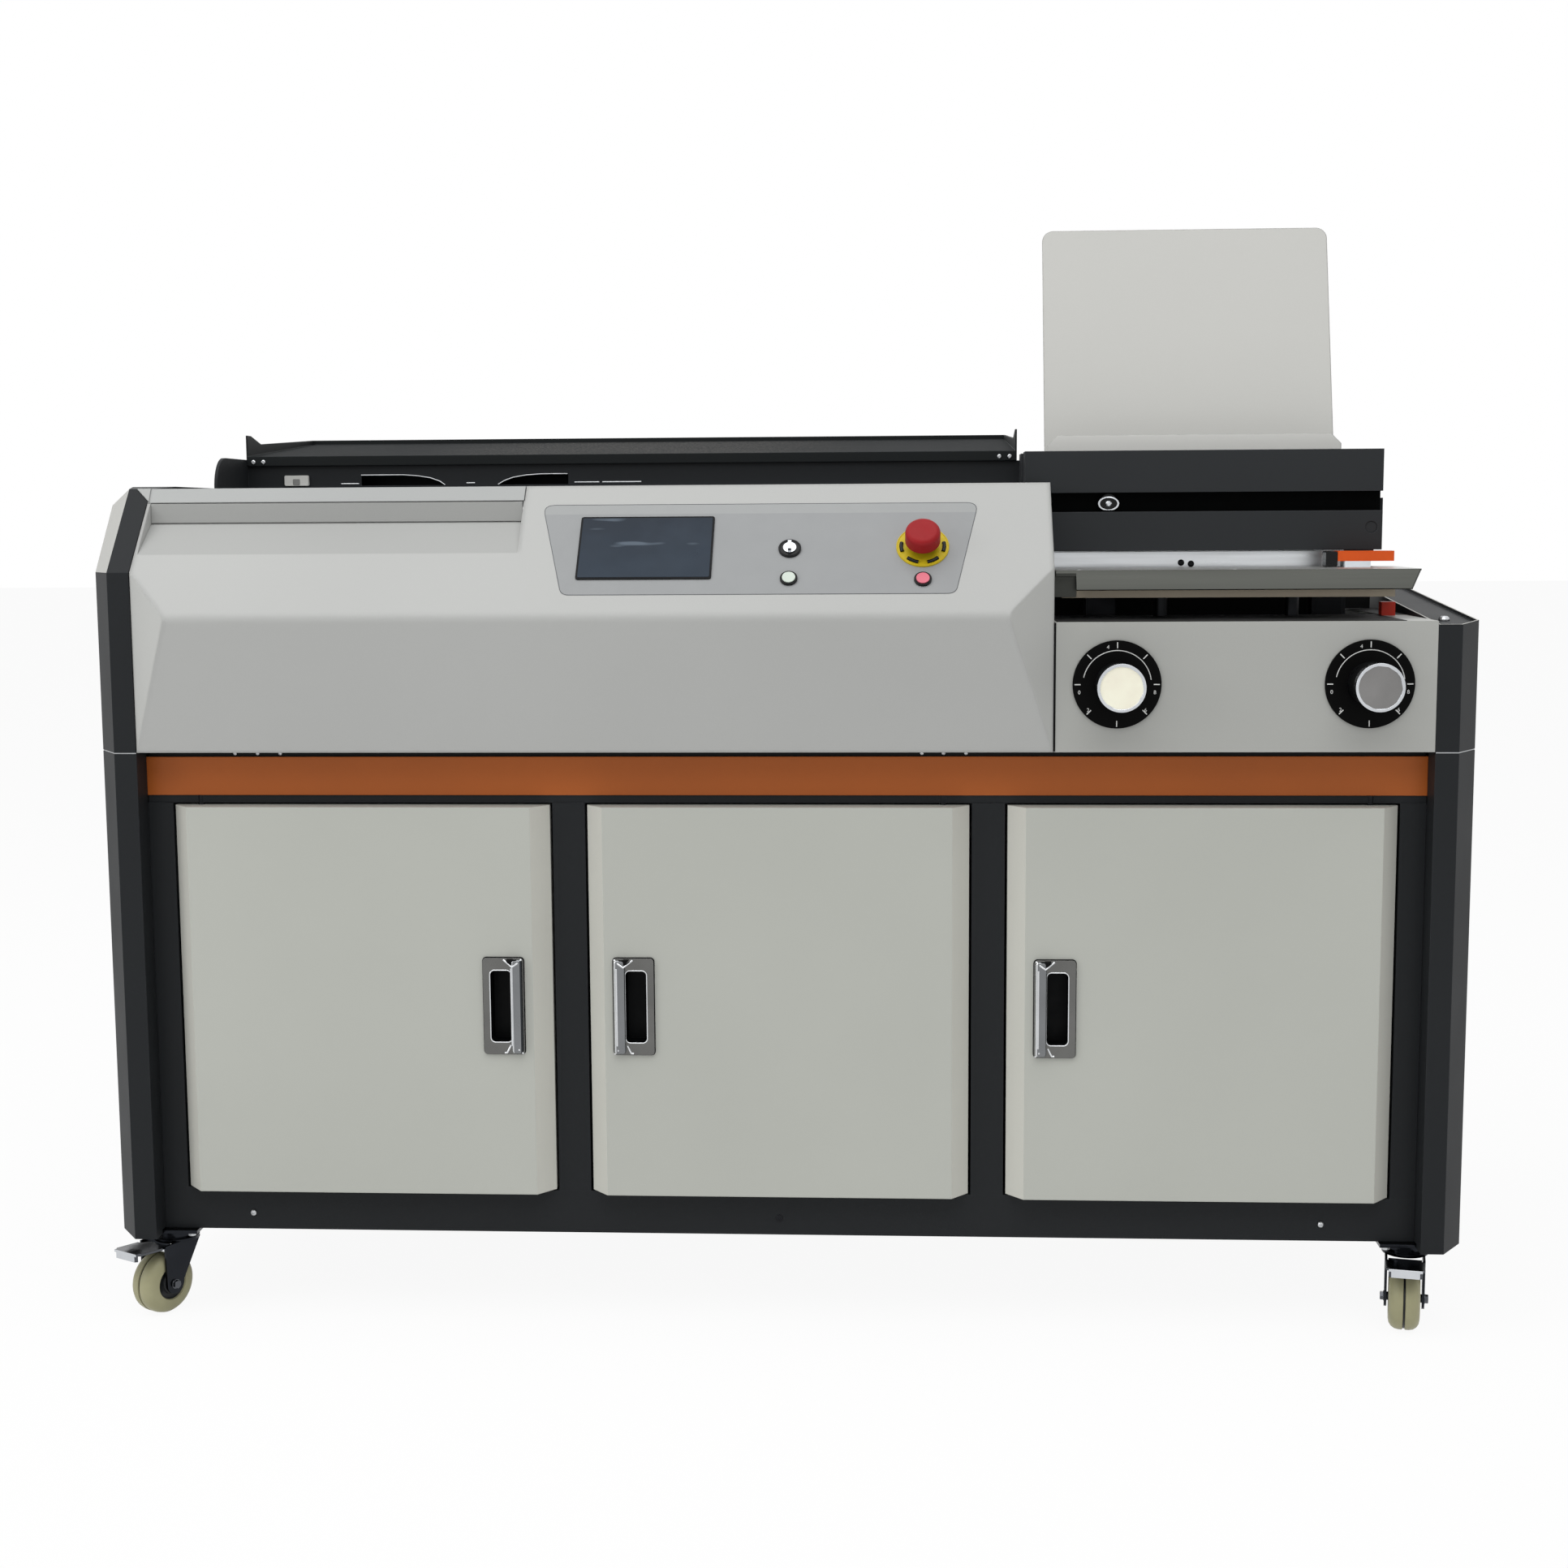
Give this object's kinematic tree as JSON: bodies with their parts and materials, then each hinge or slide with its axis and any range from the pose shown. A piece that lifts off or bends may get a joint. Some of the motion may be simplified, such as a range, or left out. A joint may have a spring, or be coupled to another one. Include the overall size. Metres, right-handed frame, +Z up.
{
  "type": "perfect binding machine",
  "caption": "Floor-standing perfect binding machine: three-door cabinet on casters, slanted control cowl, sliding book clamp with back board, cover table and tray.",
  "frame": {"origin": "on the floor, under the middle of the machine's outer box", "axes": "+X to the operator's right, +Y from the operator to the back, +Z up"},
  "size_m": [1.6, 0.738, 1.3137],
  "materials": {
    "aluminium": "machined",
    "black_plastic": "matt",
    "cast_iron": "painted casting",
    "charcoal_paint": "fine satin powder coat",
    "chrome": "polished",
    "dark_steel": "black oxide",
    "door_paint": "satin powder coat",
    "galvanised": "galvanised sheet",
    "green_plastic": "translucent",
    "light_paint": "satin powder coat",
    "nylon": "moulded nylon",
    "orange_paint": "satin powder coat",
    "orange_plastic": "moulded",
    "pink_plastic": "translucent",
    "red_plastic": "semi gloss",
    "screen_glass": "gloss",
    "steel": "brushed"
  },
  "bodies": {
    "chassis": {"cabinet_frame": "charcoal_paint", "lower_side_casings": "charcoal_paint", "left_upper_casing": "charcoal_paint", "right_upper_casing": "charcoal_paint", "rear_panel": "light_paint", "bed_plate": "steel", "accent_strip": "orange_paint", "door_hinge_pins": "steel", "front_cowl": "light_paint", "touch_screen": "screen_glass", "switch_bezels": "black_plastic", "right_front_panel": "light_paint", "dial_plates": "black_plastic", "screw_bearings": "dark_steel", "table_posts": "steel", "rail_girder": "charcoal_paint", "linear_rails": "steel", "travel_motor": "cast_iron", "top_tray": "charcoal_paint", "cutter_motor": "cast_iron", "dust_extraction": "galvanised", "glue_tank": "aluminium", "electrical_box": "galvanised", "power_inlet": "black_plastic", "caster_plates": "steel"},
    "left_door": {"left_door": "door_paint", "left_door_handle": "chrome"},
    "middle_door": {"middle_door": "door_paint", "middle_door_handle": "chrome"},
    "right_door": {"right_door": "door_paint", "right_door_handle": "chrome"},
    "glue_bay_lid": {"glue_bay_lid": "light_paint"},
    "key_switch": {"key_switch": "chrome"},
    "start_button": {"start_button": "green_plastic"},
    "stop_button": {"stop_button": "pink_plastic"},
    "estop_head": {"estop_head": "red_plastic"},
    "knob_left": {"adjust_knob_left": "black_plastic"},
    "knob_right": {"adjust_knob_right": "black_plastic"},
    "nip_jaw_front": {"nip_jaw_front": "aluminium"},
    "nip_jaw_rear": {"nip_jaw_rear": "aluminium"},
    "cover_table": {"cover_table": "steel"},
    "lay_clamp": {"lay_clamp": "orange_plastic"},
    "carriage": {"clamp_rear_jaw": "charcoal_paint", "book_board": "light_paint", "guide_rods": "chrome"},
    "front_jaw": {"clamp_front_jaw": "charcoal_paint", "front_guide_plate": "light_paint"},
    "travel_screw": {"travel_screw": "steel"},
    "milling_cutter": {"milling_cutter": "dark_steel"},
    "glue_roller": {"glue_roller": "aluminium"},
    "fork_front_left": {"caster_fork_front_left": "steel"},
    "wheel_front_left": {"caster_wheel_front_left": "nylon"},
    "pedal_front_left": {"brake_pedal_front_left": "steel"},
    "fork_front_right": {"caster_fork_front_right": "steel"},
    "wheel_front_right": {"caster_wheel_front_right": "nylon"},
    "pedal_front_right": {"brake_pedal_front_right": "steel"},
    "fork_rear_left": {"caster_fork_rear_left": "steel"},
    "wheel_rear_left": {"caster_wheel_rear_left": "nylon"},
    "fork_rear_right": {"caster_fork_rear_right": "steel"},
    "wheel_rear_right": {"caster_wheel_rear_right": "nylon"}
  },
  "joints": [
    {"name": "left_door_hinge", "type": "hinge", "parent": "chassis", "child": "left_door", "pos_m": [-0.683, -0.273, 0.3911], "axis": [0, 0, -1], "range_deg": [0, 100]},
    {"name": "middle_door_hinge", "type": "hinge", "parent": "chassis", "child": "middle_door", "pos_m": [0.193, -0.273, 0.3911], "axis": [0, 0, 1], "range_deg": [0, 100]},
    {"name": "right_door_hinge", "type": "hinge", "parent": "chassis", "child": "right_door", "pos_m": [0.683, -0.273, 0.3911], "axis": [0, 0, 1], "range_deg": [0, 100]},
    {"name": "lid_hinge", "type": "hinge", "parent": "chassis", "child": "glue_bay_lid", "pos_m": [-0.52125, -0.138, 0.99], "axis": [-1, 0, 0], "range_deg": [0, 85]},
    {"name": "key_turn", "type": "hinge", "parent": "chassis", "child": "key_switch", "pos_m": [0.017, -0.29097, 0.91933], "axis": [0, -0.7444, 0.6677], "range_deg": [0, 90]},
    {"name": "start_press", "type": "slide", "parent": "chassis", "child": "start_button", "axis": [0, 0.7444, -0.6677], "range_m": [0, 0.003], "stiffness_N_per_m": 300, "springref_m": -0.002},
    {"name": "stop_press", "type": "slide", "parent": "chassis", "child": "stop_button", "axis": [0, 0.7444, -0.6677], "range_m": [0, 0.003], "stiffness_N_per_m": 300, "springref_m": -0.002},
    {"name": "estop_press", "type": "slide", "parent": "chassis", "child": "estop_head", "axis": [0, 0.7444, -0.6677], "range_m": [0, 0.0035], "stiffness_N_per_m": 600, "springref_m": -0.003},
    {"name": "knob_left_turn", "type": "hinge", "parent": "chassis", "child": "knob_left", "pos_m": [0.388, -0.311, 0.7654], "axis": [0, 1, 0], "range_deg": [-161, 161]},
    {"name": "knob_right_turn", "type": "hinge", "parent": "chassis", "child": "knob_right", "pos_m": [0.6706, -0.311, 0.7654], "axis": [0, 1, 0], "range_deg": [-161, 161]},
    {"name": "nip_front_slide", "type": "slide", "parent": "chassis", "child": "nip_jaw_front", "axis": [0, 1, 0], "range_m": [-0.007, 0.007]},
    {"name": "nip_rear_slide", "type": "slide", "parent": "chassis", "child": "nip_jaw_rear", "axis": [0, 1, 0], "range_m": [-0.007, 0.007]},
    {"name": "table_lift", "type": "slide", "parent": "chassis", "child": "cover_table", "axis": [0, 0, 1], "range_m": [-0.012, 0]},
    {"name": "lay_slide", "type": "slide", "parent": "cover_table", "child": "lay_clamp", "axis": [1, 0, 0], "range_m": [-0.05, 0]},
    {"name": "carriage_travel", "type": "slide", "parent": "chassis", "child": "carriage", "axis": [1, 0, 0], "range_m": [-0.955, 0]},
    {"name": "clamp_close", "type": "slide", "parent": "carriage", "child": "front_jaw", "axis": [0, 1, 0], "range_m": [0, 0.046]},
    {"name": "screw_turn", "type": "hinge", "parent": "chassis", "child": "travel_screw", "pos_m": [0, -0.013, 0.963], "axis": [1, 0, 0], "range_deg": [-6877, 1]},
    {"name": "cutter_spin", "type": "hinge", "parent": "chassis", "child": "milling_cutter", "pos_m": [-0.06, -0.061, 0.892], "axis": [0, 0, 1], "continuous": true},
    {"name": "roller_spin", "type": "hinge", "parent": "chassis", "child": "glue_roller", "pos_m": [-0.47, -0.061, 0.866], "axis": [0, 1, 0], "continuous": true},
    {"name": "brake_front_left", "type": "hinge", "parent": "fork_front_left", "child": "pedal_front_left", "pos_m": [-0.758, -0.27871, 0.081], "axis": [-0.866, 0.5, 0], "range_deg": [0, 12]},
    {"name": "swivel_front_left", "type": "hinge", "parent": "chassis", "child": "fork_front_left", "pos_m": [-0.742, -0.251, 0.0855], "axis": [0, 0, 1], "continuous": true},
    {"name": "roll_front_left", "type": "hinge", "parent": "fork_front_left", "child": "wheel_front_left", "pos_m": [-0.7545, -0.27265, 0.0375], "axis": [0.866, -0.5, 0], "continuous": true},
    {"name": "brake_front_right", "type": "hinge", "parent": "fork_front_right", "child": "pedal_front_right", "pos_m": [0.73535, -0.2823, 0.081], "axis": [-0.9781, 0.2079, 0], "range_deg": [0, 12]},
    {"name": "swivel_front_right", "type": "hinge", "parent": "chassis", "child": "fork_front_right", "pos_m": [0.742, -0.251, 0.0855], "axis": [0, 0, 1], "continuous": true},
    {"name": "roll_front_right", "type": "hinge", "parent": "fork_front_right", "child": "wheel_front_right", "pos_m": [0.7368, -0.27545, 0.0375], "axis": [0.9781, -0.2079, 0], "continuous": true},
    {"name": "swivel_rear_left", "type": "hinge", "parent": "chassis", "child": "fork_rear_left", "pos_m": [-0.742, 0.284, 0.0855], "axis": [0, 0, 1], "continuous": true},
    {"name": "roll_rear_left", "type": "hinge", "parent": "fork_rear_left", "child": "wheel_rear_left", "pos_m": [-0.742, 0.309, 0.0375], "axis": [-1, 0, 0], "continuous": true},
    {"name": "swivel_rear_right", "type": "hinge", "parent": "chassis", "child": "fork_rear_right", "pos_m": [0.742, 0.284, 0.0855], "axis": [0, 0, 1], "continuous": true},
    {"name": "roll_rear_right", "type": "hinge", "parent": "fork_rear_right", "child": "wheel_rear_right", "pos_m": [0.742, 0.309, 0.0375], "axis": [-1, 0, 0], "continuous": true}
  ],
  "couplings": [
    {"joint": "knob_left_turn", "follows": "nip_front_slide", "rad_per_m": 392.7},
    {"joint": "knob_right_turn", "follows": "nip_rear_slide", "rad_per_m": -392.7},
    {"joint": "screw_turn", "follows": "carriage_travel", "rad_per_m": 125.66}
  ]
}
